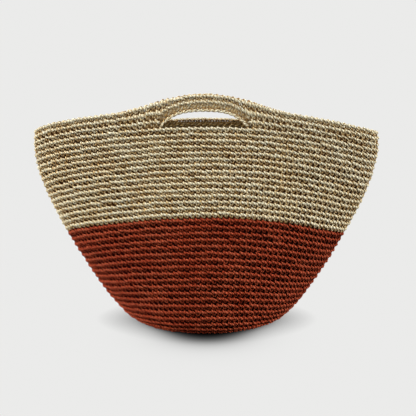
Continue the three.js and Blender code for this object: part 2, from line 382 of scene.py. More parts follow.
def slot_height(x):
    """Height of a slot at a place x along the bag: a parabola with fuller shoulders."""
    share = np.minimum(1, from_slot(x) / HALF_SLOT)
    parabola = (SLOT_HEIGHT - CHAIN_RADIUS / 2) * (1 - share * share)
    return parabola * (1 + SLOT_SHOULDER * share * share)


def slot_slope(x):
    """Slope of a slot's arch at x, from its heights a step to either side."""
    return (slot_height(x + SLOPE_STEP) - slot_height(x - SLOPE_STEP)) / (2 * SLOPE_STEP)


def over_chain(x):
    """Run at which the rounds over a slot start: clear of the chain, square to its slope."""
    return CHAIN_RUN + slot_height(x) + (CHAIN_RADIUS + GAP) * np.hypot(1, slot_slope(x))


def wander(line, phi):
    """How far a hand-made line strays along the fabric: a few slow waves round the bag.

    Each is a cosine of so many turns over the root of their number. It starts at a random angle
    and moves on by a random one from line to line.
    """
    rng = np.random.default_rng(SEED)
    total = np.zeros(np.shape(phi))
    for turns in WANDER_WAVES:
        start, drift = rng.uniform(0, 2 * np.pi), rng.uniform(-0.5, 0.5)
        total = total + np.cos(turns * phi + start + drift * line) / turns**0.5
    grown = smooth((line - BASE_LINE) / WANDER_GROWS) * smooth((SLOT_LINE - line) / WANDER_FADES)
    return WANDER * grown * total


def line_run(line, phi):
    """Run of the line between two rounds. Up to the slots it is a plain sum of round heights.

    Above them, three rounds share the height from the slots' level to the rim at the bag's ends,
    and two share the height from the chain to the rim over a slot.
    """
    if line <= BASE_LINE:
        return np.full_like(phi, START_RING + line * BASE_ROUND)
    if line <= RUST_LINE:
        return FLAT_RADIUS + (line - BASE_LINE) * RUST_ROUND + wander(line, phi)
    if line <= SLOT_LINE:
        return COLOUR_CHANGE + (line - RUST_LINE) * NATURAL_ROUND + wander(line, phi)
    x = rim_x(phi)
    top = RIM_RUN + rim_lift(x)
    share = (line - SLOT_LINE) / TOP_ROUNDS
    beside = SLOT_RUN + (top - SLOT_RUN) * share
    low = over_chain(x)
    over = low + (top - low) * (line - SLOT_LINE - 1) / (TOP_ROUNDS - 1)
    at_handle = 1 - smooth((from_slot(x) - HALF_SLOT + TIP_BLEND / 2) / TIP_BLEND)
    return beside + (over - beside) * at_handle


def puff(run, phi):
    """Soft dents and swells of the wall: products of slow waves in run and angle.

    The broad ones lean one way as they climb and the small ones the other. The bare numbers only
    set where each wave starts.
    """
    waves, lean_run, swell_run = BROAD_PUFFS
    broad = np.sin(waves * phi + run / lean_run + 1.0) * np.sin(run / swell_run + 0.5)
    waves, lean_run, swell_run = SMALL_PUFFS
    small = SMALL_SHARE * np.sin(waves * phi - run / lean_run) * np.cos(run / swell_run + 2.0)
    grown = smooth((run - FLAT_RADIUS - PUFF_START) / PUFF_GROWS)
    return PUFF * (broad + small) * grown * smooth((SLOT_RUN - run) / PUFF_FADES)


# Stitches


@functools.cache
def round_table(line):
    """Angle round the bag against the share of a round's length, from the front's middle.

    The length is summed along the middle of the round, and the work goes to the left.
    """
    phi = -np.pi / 2 - np.linspace(0, 2 * np.pi, ROUND_STEPS + 1)
    run = (line_run(line, phi) + line_run(line + 1, phi)) / 2
    length = summed(np.linalg.norm(np.diff(surface(run, phi), axis=0), axis=1))
    return length / length[-1], phi, length[-1]


@functools.cache
def stitch_count(line):
    """Stitches in a round: eight more each round on the base, then by the width of a stitch."""
    if line < BASE_LINE:
        return BASE_STITCHES * (line + 1)
    share = (line - BASE_LINE) / (RIM_LINE - BASE_LINE)
    count = round(round_table(line)[2] / (LOW_STITCH + (RIM_STITCH - LOW_STITCH) * share))
    return max(count, stitch_count(line - 1))


def turned(vectors, axes, angles):
    """Vectors turned about axes square to them: cosine part plus sine part of the cross product."""
    cos, sin = np.cos(angles)[:, None], np.sin(angles)[:, None]
    return vectors * cos + np.cross(axes, vectors) * sin


def stitch_rings(path, width, height, radius):
    """Rings of yarn round one stitch's path, in the path's measures, and the steps between them.

    Each ring is a circle square to the path. Its start is carried along the path without
    twisting, and what is left over after one stitch is spread evenly, so that stitches join.
    """
    n = len(path)
    centre = path[:, :3] * (width, height, 1)
    ahead = np.roll(centre, -1, axis=0)
    ahead[-1, 0] += width
    behind = np.roll(centre, 1, axis=0)
    behind[0, 0] -= width
    along = ahead - behind
    along /= np.linalg.norm(along, axis=1, keepdims=True)
    start = np.empty((n + 1, 3))
    start[0] = (0, 0, 1)
    for i in range(n + 1):
        vector = start[max(i - 1, 0)]
        vector = vector - vector.dot(along[i % n]) * along[i % n]
        start[i] = vector / np.linalg.norm(vector)
    left_over = np.arctan2(np.cross(start[n], start[0]).dot(along[0]), start[n].dot(start[0]))
    start = turned(start[:n], along, left_over * np.arange(n) / n)
    across = np.cross(along, start)
    angle = np.linspace(0, 2 * np.pi, TUBE_SIDES, endpoint=False)[:, None, None]
    ring = start * np.cos(angle) + across * np.sin(angle)
    rings = centre + ring * (path[:, 3:] * radius)
    step = np.linalg.norm(ahead - centre, axis=1)
    return rings.transpose(1, 0, 2) / (width, height, 1), step


def hand_variation(count, rings, rng):
    """Small changes from stitch to stitch, joined by straight lines from one to the next."""
    values = rng.normal(0, 1, (count, 4))
    after = np.roll(values, -1, axis=0)
    share = (np.arange(rings) / rings)[None, :, None]
    return (values[:, None] * (1 - share) + after[:, None] * share).reshape(-1, 4)


def uneven_stitches(template, count, line, uneven):
    """A round of stitches in a row, each a little thicker, thinner or out of place."""
    n = len(STITCH_PATH)
    change = hand_variation(count, n, np.random.default_rng(SEED + line))
    centre = np.tile(STITCH_PATH[:, :3], (count, 1))[:, None]
    rings = np.tile(template, (count, 1, 1))
    thick = 1 + THICKNESS_CHANGE * uneven * change[:, 3]
    rings = centre + (rings - centre) * thick[:, None, None]
    rings[..., 0] += np.repeat(np.arange(count), n)[:, None]
    rings += (change[:, :3] * uneven * PLACE_CHANGE)[:, None]
    return rings


def free_edge(line, phi):
    """1 where no round is worked on top of this one, so that its loops lie flatter, or 0."""
    if line == RIM_LINE - 1:
        return np.ones_like(phi)
    if line != SLOT_LINE - 1:
        return np.zeros_like(phi)
    return smooth((HALF_SLOT - from_slot(rim_x(phi))) / EDGE_EASE)


def edge_shade_depth(edge, level, depth):
    """Depth for the painted shade of each point: its own, and less towards the top of a free edge,
    where the painted shade is lighter.
    """
    start, reach = EDGE_FADE
    on_edge = edge * smooth((level - start) / reach)
    on_edge *= smooth((INSIDE_SHOWN - depth) / EDGE_BACK_FADE)
    return depth + (EDGE_SHOWN - depth) * on_edge


def yarn_round(line, settings):
    """The yarn of one whole round: its stitches, bent to the bag between the round's two lines.

    A point's share of the round's length gives its angle round the bag, its share of the height
    gives its run between the lines, and its depth goes in along the normal.
    """
    count = stitch_count(line)
    share, phi_at, length = round_table(line)
    height = float(np.mean(line_run(line + 1, phi_at) - line_run(line, phi_at)))
    radius = settings.yarn_diameter / MM / 2
    if line >= SLOT_LINE:
        radius *= TOP_PLUMPNESS
    template, step = stitch_rings(STITCH_PATH, length / count, height, radius)
    rings = uneven_stitches(template, count, line, settings.unevenness)
    place, level, depth = np.moveaxis(rings, -1, 0)
    phi = np.interp(place / count % 1, share, phi_at)
    low, high = line_run(line, phi), line_run(line + 1, phi)
    edge = free_edge(line, phi)
    pressed = level - EDGE_PRESS * (np.maximum(level - EDGE_SHARE, 0) * edge)
    run = low + pressed * (high - low)
    points = fabric(run, phi, depth - puff(run, phi))
    points[..., 2] = np.maximum(points[..., 2], 0)
    return Yarn(points, edge_shade_depth(edge, level, depth), summed(np.tile(step, count)))


def chain_rings(side, settings):
    """The chain along one slot: a row of links that follows the slot's arch from tip to tip.

    A point's distance from the chain's middle is laid off square to the arch, by its slope.
    """
    stations = np.linspace(-HALF_SLOT, HALF_SLOT, CHAIN_STEPS) + SLOT_OFFSET
    run = CHAIN_RUN + slot_height(stations)
    middle = surface(run, angle_at(stations, run, side))
    length = summed(np.linalg.norm(np.diff(middle, axis=0), axis=1))
    count = round(length[-1] / RIM_STITCH)
    radius = settings.yarn_diameter / MM / 2
    template, step = stitch_rings(CHAIN_PATH, length[-1] / count, CHAIN_DIAMETER, radius)
    rings = np.tile(template, (count, 1, 1))
    rings[..., 0] += np.repeat(np.arange(count), len(CHAIN_PATH))[:, None]
    station = np.interp(rings[..., 0] / count * length[-1], length, stations)
    across = (rings[..., 1] - 0.5) * CHAIN_DIAMETER
    slope = slot_slope(station)
    tilt = np.hypot(1, slope)
    run = CHAIN_RUN + slot_height(station) + across / tilt
    phi = angle_at(station - across * slope / tilt, run, side)
    return Yarn(fabric(run, phi, rings[..., 2]), rings[..., 2], summed(np.tile(step, count)))


def cut(yarn, picked):
    """The picked rings of a yarn, which follow each other."""
    along = yarn.along[picked[0]] + summed(np.diff(yarn.along)[picked])
    return Yarn(yarn.rings[picked], yarn.depth[picked], along)


# Parts of meshes


def faces_between(rings, sides, closed):
    """Four-sided faces from each ring of points to the next, and to the first if closed."""
    ring = np.arange(rings if closed else rings - 1)[:, None]
    next_ring = (ring + 1) % rings
    side = np.arange(sides)
    next_side = (side + 1) % sides
    corners = ((ring, side), (next_ring, side), (next_ring, next_side), (ring, next_side))
    return np.stack([row * sides + column for row, column in corners], -1).reshape(-1, 4)


def tube(yarn, finish, closed=False):
    """A part of one yarn: four-sided faces between its rings, and a fan of triangles at each end.

    The yarn map holds millimetres along the yarn and the share round it.
    """
    rings, depth, along = yarn
    total, sides = rings.shape[:2]
    faces = faces_between(total, sides, closed)
    last = total if closed else total - 1
    at, to = along[:last, None], along[1 : last + 1, None]
    near, far = np.arange(sides) / sides, np.arange(1, sides + 1) / sides
    corners = ((at, near), (to, near), (to, far), (at, far))
    pairs = [np.stack(np.broadcast_arrays(*pair), -1) for pair in corners]
    marks = np.stack(pairs, -2).reshape(-1, 4, 2)
    if not closed:
        fan = np.arange(1, sides - 1)
        first = np.stack([0 * fan, fan, fan + 1, 0 * fan - 1], -1)
        end = first[:, [0, 2, 1, 3]] + (total - 1) * sides * np.array([1, 1, 1, 0])
        faces = np.concatenate([faces, first, end])
        caps = np.zeros((2, len(fan), 4, 2))
        caps[..., 0] = along[[0, total - 1]][:, None, None]
        marks = np.concatenate([marks, caps.reshape(-1, 4, 2)])
    return Part(rings.reshape(-1, 3), depth.ravel(), faces, marks, finish)


def core_run(line, phi):
    """Run of a line of the core, a little below the rounds' own; 5.5 is between lines 5 and 6."""
    below = int(min(np.floor(line), RIM_LINE - 1))
    low, high = line_run(below, phi), line_run(below + 1, phi)
    return low + (high - low) * (line - below - CORE_DROP)


def core_band(low_line, high_line, start, end, yarn, top=False):
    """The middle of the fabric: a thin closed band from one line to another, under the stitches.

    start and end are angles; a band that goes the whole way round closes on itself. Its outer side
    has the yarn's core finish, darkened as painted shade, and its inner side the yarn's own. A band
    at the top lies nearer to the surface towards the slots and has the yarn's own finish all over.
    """
    settings = bpy.context.scene.handbag_yarn
    whole = np.isclose(abs(end - start), 2 * np.pi)
    columns = max(4, int(abs(end - start) / (2 * np.pi) * CORE_COLUMNS))
    phi = np.linspace(start, end, columns + 1)[: columns if whole else None]
    lines = np.arange(low_line, high_line + CORE_LINE_STEP / 2, CORE_LINE_STEP)
    run = np.stack([core_run(line, phi) for line in lines])
    angle = np.broadcast_to(phi, run.shape)
    near_slot = top * smooth((CORE_RISE_START - from_slot(rim_x(phi))) / CORE_RISE)
    deep, shallow = settings.core_depth / MM, settings.top_core_depth / MM
    depth = deep + (shallow - deep) * near_slot
    sheets = [fabric(run, angle, depth + more - puff(run, angle)) for more in (0, CORE_THICKNESS)]
    section = np.concatenate([sheets[0], sheets[1][::-1]], 0).transpose(1, 0, 2)
    total, sides = section.shape[:2]
    faces = faces_between(total, sides, whole)[:, [0, 3, 2, 1]]
    if not whole:
        level = np.arange(len(lines) - 1)
        first = np.stack([level, sides - 1 - level, sides - 2 - level, level + 1], -1)
        faces = np.concatenate([faces, first, (total - 1) * sides + first[:, ::-1]])
    points = section.reshape(-1, 3)
    x, y, z = np.moveaxis(points[faces], -1, 0)
    marks = np.stack([x + y, z / CORE_TURN], -1)
    # depths for the painted shade of the band's outer and inner sides
    shown = END_SHOWN + (SLOT_SHOWN - END_SHOWN) * near_slot if top else depth
    inside = shown if top else np.full_like(phi, INSIDE_SHOWN)
    painted_shade_depth = np.stack([shown, inside], -1).repeat(len(lines), axis=1).ravel()
    row = np.arange(len(faces)) % sides
    inner = (row >= len(lines)) & (row < sides - 1)
    return Part(points, painted_shade_depth, faces, marks, np.where(inner | top, yarn, yarn + SHADED_CORE))


# Meshes


def points_outward(part):
    """Whether a part's faces point outwards: their signed pyramids add up to a positive volume."""
    four = part.faces[part.faces[:, 3] >= 0]
    triangles = np.concatenate([part.faces[:, :3], four[:, [0, 2, 3]]])
    a, b, c = np.moveaxis(part.points[triangles], 1, 0)
    return np.einsum("ij,ij->i", a, np.cross(b, c)).sum() > 0


def turned_over(part):
    """A part whose faces have their corners in reverse order."""
    faces, marks = part.faces.copy(), part.marks.copy()
    four = faces[:, 3] >= 0
    faces[four] = faces[four][:, ::-1]
    marks[four] = marks[four][:, ::-1]
    faces[~four, :3] = faces[~four, :3][:, ::-1]
    return part._replace(faces=faces, marks=marks)


def bake_cells(count):
    """A map without overlaps for so many faces: each fills a small cell of its own, in rows."""
    across = int(np.ceil(np.sqrt(count)))
    index = np.arange(count)
    near, far = CELL_MARGIN, 1 - CELL_MARGIN
    corner = np.array([(near, near), (far, near), (far, far), (near, far)])
    cell = np.stack([index % across, index // across], -1)[:, None]
    return (cell + corner) / across


def build_mesh(name, parts, materials):
    """One object whose mesh holds several parts, its yarn and bake maps and painted-shade depths.
    """
    parts = [part if points_outward(part) else turned_over(part) for part in parts]
    finishes = [np.broadcast_to(part.finish, len(part.faces)) for part in parts]
    points = np.concatenate([part.points for part in parts])
    before = summed([len(part.points) for part in parts])
    faces = np.concatenate(
        [np.where(part.faces >= 0, part.faces + start, -1) for part, start in zip(parts, before)]
    )
    marks = np.concatenate([part.marks for part in parts])
    depths = np.concatenate([part.depth for part in parts])
    used = faces >= 0
    starts = summed(used.sum(1))[:-1]
    mesh = bpy.data.meshes.new(name)
    mesh.vertices.add(len(points))
    mesh.vertices.foreach_set("co", (points * MM).astype(np.float32).ravel())
    mesh.loops.add(int(used.sum()))
    mesh.loops.foreach_set("vertex_index", faces[used].astype(np.int32))
    mesh.polygons.add(len(faces))
    mesh.polygons.foreach_set("loop_start", starts.astype(np.int32))
    mesh.polygons.foreach_set("material_index", np.concatenate(finishes).astype(np.int32))
    mesh.polygons.foreach_set("use_smooth", np.ones(len(faces), bool))
    yarn_map = mesh.uv_layers.new(name="Yarn")
    scaled = marks[used] * (YARN_MAP_SCALE, 1)
    yarn_map.uv.foreach_set("vector", scaled.astype(np.float32).ravel())
    bake_map = mesh.uv_layers.new(name="OFBake")
    bake_map.uv.foreach_set("vector", bake_cells(len(faces))[used].astype(np.float32).ravel())
    # depth of each point, from which the finish paints shade
    deep = mesh.attributes.new("Depth", "FLOAT", "POINT")
    deep.data.foreach_set("value", depths.astype(np.float32))
    mesh.update(calc_edges=True)
    mesh.validate()
    for material in materials:
        mesh.materials.append(material)
    piece = bpy.data.objects.new(name, mesh)
    bpy.context.scene.collection.objects.link(piece)
    return piece


# Finishes of the yarns


def feed(tree, target, inputs):
    """Gives a node's inputs their values by name or number.

    A value is a number, a colour, another node's output, or a node, of which it is the first one.
    """
    for entry, value in inputs.items():
        if isinstance(value, bpy.types.Node):
            value = value.outputs[0]
        if isinstance(value, bpy.types.NodeSocket):
            tree.links.new(value, target.inputs[entry])
        else:
            target.inputs[entry].default_value = value
    return target


def node(tree, kind, inputs=None, **settings):
    """A new node with these inputs and settings."""
    made = tree.nodes.new(kind)
    for key, value in settings.items():
        setattr(made, key, value)
    return feed(tree, made, inputs or {})


def maths(tree, operation, *values, clamp=False):
    """A Math node of these values."""
    inputs = dict(enumerate(values))
    return node(tree, "ShaderNodeMath", inputs, operation=operation, use_clamp=clamp)


def weighted(tree, heights, weights):
    """The sum of the named heights, each times its weight."""
    total = 0.0
    for name, weight in weights.items():
        total = maths(tree, "MULTIPLY_ADD", heights[name], weight, total)
    return total


def mixed(tree, share, first, second, blend="MIX"):
    """Two colours mixed by a share."""
    inputs = {"Factor": share, "A": first, "B": second}
    made = node(tree, "ShaderNodeMix", inputs, data_type="RGBA", blend_type=blend)
    return made.outputs["Result"]


def yarn_twist(tree, bend, settings):
    """Heights of the plies and of their fibres, each from 0 in the grooves to 1 on the crowns.

    The plies follow a cosine of twice the share round the yarn less the length along it over half
    the twist's pitch. The fibres follow a finer cosine of the same angle, bent by noise.
    """
    yarn_map = node(tree, "ShaderNodeUVMap", uv_map="Yarn")
    along, around, _ = node(tree, "ShaderNodeSeparateXYZ", {"Vector": yarn_map}).outputs
    length = maths(tree, "MULTIPLY", along, 1 / YARN_MAP_SCALE / (settings.ply_length / MM))
    phase = maths(tree, "SUBTRACT", maths(tree, "MULTIPLY", around, 2.0), length)
    angle = maths(tree, "MULTIPLY", phase, 2 * np.pi)
    ply = maths(tree, "MULTIPLY_ADD", maths(tree, "COSINE", angle), 0.5, 0.5)
    bent = maths(tree, "MULTIPLY_ADD", angle, FIBRES, maths(tree, "MULTIPLY", bend, FIBRE_BEND))
    fibres = maths(tree, "MULTIPLY_ADD", maths(tree, "COSINE", bent), 0.5, 0.5)
    return maths(tree, "POWER", ply, PLY_FULLNESS), fibres


def shade_ramp(tree, tone, shades):
    """The yarn's dark, middle and light colours over its tone."""
    ramp = node(tree, "ShaderNodeValToRGB", {"Fac": tone})
    stops = ramp.color_ramp.elements
    stops.new(SHADE_PLACES[1])
    for stop, place, shade in zip(stops, SHADE_PLACES, shades):
        stop.position = place
        stop.color = (*shade, 1)
    return ramp


def painted_gap_shade(tree, depth, power):
    """Painted shade by depth: 1 on the fabric's outer and inner sides and 0 where it is painted
    darkest.

    The distance from the darkest depth over the reach on that side, to a power.
    """
    above = maths(tree, "MULTIPLY", maths(tree, "SUBTRACT", MIDDLE_DEPTH, depth), 1 / OUTER_REACH)
    below = maths(tree, "MULTIPLY", maths(tree, "SUBTRACT", depth, MIDDLE_DEPTH), 1 / INNER_REACH)
    share = maths(tree, "MINIMUM", maths(tree, "MAXIMUM", above, below), 1.0)
    return maths(tree, "POWER", share, power)


def shade_and_speck_warmth(tree, depth, speck):
    """How warm the yarn is: more the deeper it lies in a stitch, a painted warm shade, and in
    random specks of noise.
    """
    crown = maths(tree, "MULTIPLY_ADD", depth, *CROWN, clamp=True)
    # painted warm shade: full deep in a stitch, less on its crown
    packed = maths(tree, "MULTIPLY_ADD", crown, CROWN_WARMTH, DEEP_SHADE_WARMTH)
    away = maths(tree, "SUBTRACT", speck, 0.5)
    return maths(tree, "MULTIPLY_ADD", away, SPECK_WARMTH, packed, clamp=True)


def yarn_material(name, shades, settings, sheen, gap_shade_power):
    """Two-ply jute. The shades are dark, middle, light and the painted shade deep in the gaps."""
    material = bpy.data.materials.new(name)
    material.use_nodes = True
    tree = material.node_tree
    tree.nodes.clear()
    spot = node(tree, "ShaderNodeTexCoord").outputs["Object"]
    depth = node(tree, "ShaderNodeAttribute", attribute_name="Depth").outputs["Fac"]
    heights = {}
    for word, (scale, detail, roughness) in NOISES.items():
        inputs = {"Vector": spot, "Scale": scale, "Detail": detail, "Roughness": roughness}
        heights[word] = node(tree, "ShaderNodeTexNoise", inputs)
    heights["plies"], heights["fibres"] = yarn_twist(tree, heights["bend"], settings)
    tone = maths(tree, "SUBTRACT", weighted(tree, heights, TONE), TONE_DROP)
    ramp = shade_ramp(tree, tone, shades[:3])
    # warm tint: partly a painted warm shade deep in the stitches, partly random specks
    warm = mixed(tree, shade_and_speck_warmth(tree, depth, heights["speck"]), ramp, WARM_TINT, "MULTIPLY")
    # painted shade: darker in the grooves between the plies and deep in the gaps between stitches
    groove = maths(tree, "MULTIPLY_ADD", heights["plies"], 1 - GROOVE_SHADE, GROOVE_SHADE)
    shade = maths(tree, "MULTIPLY", painted_gap_shade(tree, depth, gap_shade_power), groove)
    relief = weighted(tree, heights, RELIEF)
    bump = {"Height": relief, "Strength": 1.0, "Distance": settings.ply_depth}
    finish = {
        # the colour goes towards the painted shade colour where the painted shade is dark
        "Base Color": mixed(tree, shade, (*shades[3], 1), warm),
        "Normal": node(tree, "ShaderNodeBump", bump),
        "Roughness": 0.86,
        "Specular IOR Level": 0.06,
        "Sheen Weight": sheen,
        "Sheen Roughness": 0.6,
    }
    shader = node(tree, "ShaderNodeBsdfPrincipled", finish)
    node(tree, "ShaderNodeOutputMaterial", {"Surface": shader})
    return material


def yarn_materials():
    """The four finishes: each yarn where it shows, and each darkened as painted shade on the
    fabric's core.
    """
    names = ("rust_jute", "natural_jute", "rust_jute_core", "natural_jute_core")
    if names[0] in bpy.data.materials:
        return [bpy.data.materials[name] for name in names]
    settings = bpy.context.scene.handbag_yarn
    colours = bpy.context.scene.handbag_colours
    rust, natural = (
        [getattr(colours, yarn + shade) for shade in ("_dark", "", "_light", "_deep")]
        for yarn in ("rust", "natural")
    )
    shaded_core_rust, shaded_core_natural = (
        [[channel * colours.core_painted_shade for channel in shade] for shade in shades]
        for shades in (rust, natural)
    )
    return [
        yarn_material(names[0], rust, settings, 0.0, RUST_GAP_SHADE),
        yarn_material(names[1], natural, settings, NATURAL_SHEEN, NATURAL_GAP_SHADE),
        yarn_material(names[2], shaded_core_rust, settings, 0.0, CORE_GAP_SHADE),
        yarn_material(names[3], shaded_core_natural, settings, 0.0, CORE_GAP_SHADE),
    ]


# Pieces


def whole_rounds(name, low_line, high_line, node_name, yarn):
    """A piece of whole rounds, from one line to another, that rides on the bag."""
    settings = bpy.context.scene.handbag_yarn
    rounds = [yarn_round(line, settings) for line in range(low_line, high_line)]
    parts = [tube(one, yarn, closed=True) for one in rounds]
    parts.append(core_band(low_line or CORE_START, high_line, 0, 2 * np.pi, yarn))
    piece = build_mesh(name, parts, yarn_materials())
    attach(piece, "bag")
    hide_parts(node_name)
    return piece


def cut_rounds(keep):
    """Stretches of the rounds level with the slots.

    keep takes the line under a round and the round's rings, and says which rings to keep.
    """
    settings = bpy.context.scene.handbag_yarn
    parts = []
    for line in range(SLOT_LINE, RIM_LINE):
        yarn = yarn_round(line, settings)
        kept = keep(line, yarn.rings)
        for first in np.flatnonzero(kept & ~np.roll(kept, 1)):
            length = int(np.argmin(np.roll(kept, -first)))
            picked = (first + np.arange(length)) % len(kept)
            parts.append(tube(cut(yarn, picked), NATURAL))
    return parts


def top_piece(name, keep, core_spans, extra=()):
    """A piece of the rounds level with the slots. core_spans are lines and angles of its core."""
    parts = cut_rounds(keep) + list(extra)
    for span in core_spans:
        parts.append(core_band(*span, NATURAL, top=True))
    piece = build_mesh(name, parts, yarn_materials())
    return piece


def rim_span(near, far, side):
    """The two angles at which the rim passes two places along X, the lesser first."""
    return sorted((angle_at(near, RIM_RUN, side), angle_at(far, RIM_RUN, side)))


def towards(rings, way):
    """Distance of each point from the slots' middle, towards one end of the bag."""
    return (rings[..., 0] - SLOT_OFFSET) * way


def ring_reach(rings):
    """Greatest distance of each ring's points from the slots' middle along X."""
    return from_slot(rings[..., 0]).max(1)


def on_side(rings, side):
    """Whether each ring is in the front or the back half of the bag."""
    return rings[..., 1].mean(1) * side > 0


def widened(kept):
    """The kept rings and one more at each end, where the yarn goes on in the next piece."""
    return kept | np.roll(kept, 1) | np.roll(kept, -1)


def end_rounds(hand, way):
    """The rounds level with the slots at one end of the bag."""

    def keep(line, rings):
        return towards(rings, way).max(1) > HANDLE_EASE

    x = SLOT_OFFSET + way * HANDLE_EASE
    front, back = angle_at(x, RIM_RUN, FRONT), angle_at(x, RIM_RUN, BACK)
    span = (front, back) if way == RIGHT else (back, front + 2 * np.pi)
    piece = top_piece(f"{hand}_end_stitches", keep, [(SLOT_LINE, RIM_CORE, *span)])
    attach(piece, "bag")
    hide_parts(f"{hand}_end_rounds")


def handle_middle(handle):
    """The middle of a handle, which moves as one: the rounds over the chain, and the chain."""
    word, side, core_top, chain = handle
    body = f"{word}_handle"

    def keep(line, rings):
        return on_side(rings, side) & (line > SLOT_LINE) & (ring_reach(rings) < HANDLE_HOLD)

    span = rim_span(SLOT_OFFSET - HANDLE_HOLD, SLOT_OFFSET + HANDLE_HOLD, side)
    piece = top_piece(f"{word}_handle_stitches", keep, [(SLOT_LINE + 1, core_top, *span)])
    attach(piece, body)
    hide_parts(f"{word}_handle_rounds")
    middle = cut(chain, np.flatnonzero(ring_reach(chain.rings) < HANDLE_HOLD))
    links = build_mesh(f"{word}_handle_links", [tube(middle, NATURAL)], yarn_materials())
    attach(links, body)
    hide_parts(f"{word}_handle_chain")


def handle_join(handle, hand, way):
    """The fabric from a handle's middle to one end of the bag, between the two."""
    word, side, core_top, chain = handle

    def keep(line, rings):
        out = towards(rings, way)
        here = on_side(rings, side) & (out.max(1) > 0)
        inner = HALF_SLOT + TIP_STITCH if line == SLOT_LINE else 0
        held = (ring_reach(rings) < HANDLE_HOLD) & (line > SLOT_LINE)
        beside = (out.min(1) > inner) & (out.max(1) <= HANDLE_EASE)
        return widened(here & ~held & beside)

    near = SLOT_OFFSET + way * HANDLE_HOLD
    tip = SLOT_OFFSET + way * (HALF_SLOT + TIP_CORE)
    far = SLOT_OFFSET + way * HANDLE_EASE
    cores = [
        (SLOT_LINE + 1, core_top, *rim_span(near, far, side)),
        (SLOT_LINE, SLOT_LINE + 1, *rim_span(tip, far, side)),
    ]
    here = towards(chain.rings, way).min(1) > 0
    kept = widened(here & (ring_reach(chain.rings) >= HANDLE_HOLD)) & here
    links = tube(cut(chain, np.flatnonzero(kept)), NATURAL)
    piece = top_piece(f"{word}_handle_{hand}_join", keep, cores, [links])
    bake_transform(piece)


# Stage


def backdrop(tree, shown, cast):
    """Strength of a glow that the camera sees as shown, while it lights the bag by cast."""
    return maths(tree, "MULTIPLY_ADD", node(tree, "ShaderNodeLightPath"), shown - cast, cast)


def floor_glow_with_painted_shadow(tree, stage):
    """Strength of the floor's glow: full away from the bag, and less in a painted shadow.

    The painted soft shadow is an ellipse. With the distance from its middle as a share of its
    half-axes, the light left is the sixth power of that share over 1 plus the same. Where the bag
    is close overhead, ambient occlusion takes more, as a painted contact shade.
    """
    spot = node(tree, "ShaderNodeTexCoord").outputs["Object"]
    x, y, _ = node(tree, "ShaderNodeSeparateXYZ", {"Vector": spot}).outputs
    across = maths(tree, "MULTIPLY", x, 1 / stage.painted_shadow_width)
    ahead = maths(tree, "ADD", y, stage.painted_shadow_ahead)
    ahead = maths(tree, "MULTIPLY", ahead, 1 / stage.painted_shadow_length)
    squares = maths(tree, "MULTIPLY_ADD", ahead, ahead, maths(tree, "MULTIPLY", across, across))
    sixth = maths(tree, "POWER", squares, 3.0)
    outside_painted_shadow = maths(tree, "DIVIDE", sixth, maths(tree, "ADD", sixth, 1.0))
    near = node(tree, "ShaderNodeAmbientOcclusion", {"Distance": stage.painted_contact_reach})
    painted_contact_shade = maths(tree, "POWER", near.outputs["AO"], CONTACT_POWER)
    strength = backdrop(tree, stage.floor_glow, stage.floor_light)
    return maths(tree, "MULTIPLY", maths(tree, "MULTIPLY", outside_painted_shadow, painted_contact_shade), strength)


def lay_floor(scene, stage):
    """A wide floor that glows by itself, so that it is as even as the photo's."""
    size = FLOOR_REACH
    mesh = bpy.data.meshes.new("floor")
    corners = [(-size, -size, 0), (size, -size, 0), (size, size, 0), (-size, size, 0)]
    mesh.from_pydata(corners, [], [(0, 1, 2, 3)])
    floor = bpy.data.objects.new("floor", mesh)
    scene.collection.objects.link(floor)
    material = bpy.data.materials.new("pale_floor")
    material.use_nodes = True
    tree = material.node_tree
    finish = {
        "Base Color": (0, 0, 0, 1),
        "Roughness": 0.9,
        "Specular IOR Level": 0.0,
        "Emission Color": STUDIO_WHITE,
        # the glow holds a painted soft shadow and a painted contact shade
        "Emission Strength": floor_glow_with_painted_shadow(tree, stage),
    }
    feed(tree, tree.nodes["Principled BSDF"], finish)
    mesh.materials.append(material)


def light_sky(scene, stage):
    """Even light from all round, behind a backdrop as bright as the floor."""
    world = bpy.data.worlds.new("studio")
    world.use_nodes = True
    tree = world.node_tree
    strength = backdrop(tree, stage.floor_glow, stage.sky)
    feed(tree, tree.nodes["Background"], {"Color": STUDIO_WHITE, "Strength": strength})
    scene.world = world


def hang_lamps(scene, stage):
    """Three soft lamps, each turned to the foot of the bag."""
    for word, place in LAMPS.items():
        light = bpy.data.lights.new(f"{word}_light", "SUN")
        light.angle = stage.softness
        light.energy = getattr(stage, f"{word}_lamp")
        lamp = bpy.data.objects.new(f"{word}_light", light)
        lamp.location = place
        lamp.rotation_euler = Vector(place).to_track_quat("Z", "Y").to_euler()
        scene.collection.objects.link(lamp)


def place_camera(scene, stage):
    """The photo's camera: straight in front of the bag, looking a little down."""
    camera_data = bpy.data.cameras.new("photo_camera")
    camera_data.lens = stage.camera_lens
    camera_data.shift_x = SHIFT_RIGHT / PHOTO_PIXELS
    camera_data.shift_y = -SHIFT_DOWN / PHOTO_PIXELS
    camera = bpy.data.objects.new("photo_camera", camera_data)
    tilt = stage.camera_elevation
    away = stage.camera_distance
    camera.location = (0, -away * np.cos(tilt), stage.camera_target + away * np.sin(tilt))
    camera.rotation_euler = (np.pi / 2 - tilt, 0, 0)
    scene.collection.objects.link(camera)
    scene.camera = camera


# Settings

LENGTH = {"subtype": "DISTANCE", "unit": "LENGTH"}
LENS = {"subtype": "DISTANCE_CAMERA", "unit": "CAMERA"}
ANGLE = {"subtype": "ANGLE", "unit": "ROTATION"}
SHARE = {"subtype": "FACTOR"}


